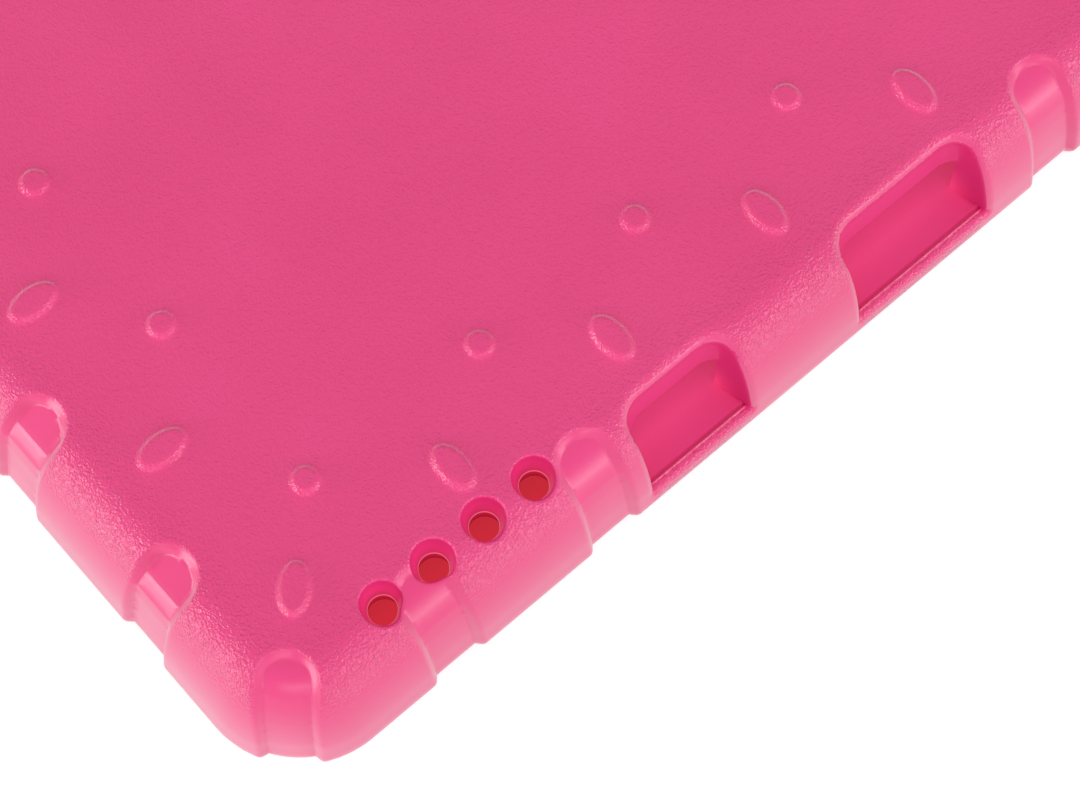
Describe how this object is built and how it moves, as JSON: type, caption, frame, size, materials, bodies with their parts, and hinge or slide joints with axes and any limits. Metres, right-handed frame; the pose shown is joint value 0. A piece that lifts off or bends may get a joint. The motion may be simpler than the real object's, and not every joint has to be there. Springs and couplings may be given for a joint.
{
  "type": "tablet case",
  "caption": "One-piece moulded foam tablet case with a grooved, rounded rim, raised bumps on the back, speaker holes, button notches and an open front.",
  "frame": {"origin": "middle of the case's outline, on the plane of the front lip's flat face, which it lies on", "axes": "+X along the long side, with the speaker holes at the -X end of the -Y side; +Z from the open front to the back"},
  "size_m": [0.257, 0.173, 0.0209],
  "materials": {
    "foam": "satin, fine leather grain"
  },
  "bodies": {
    "root": {"case_shell": "foam"}
  },
  "joints": []
}
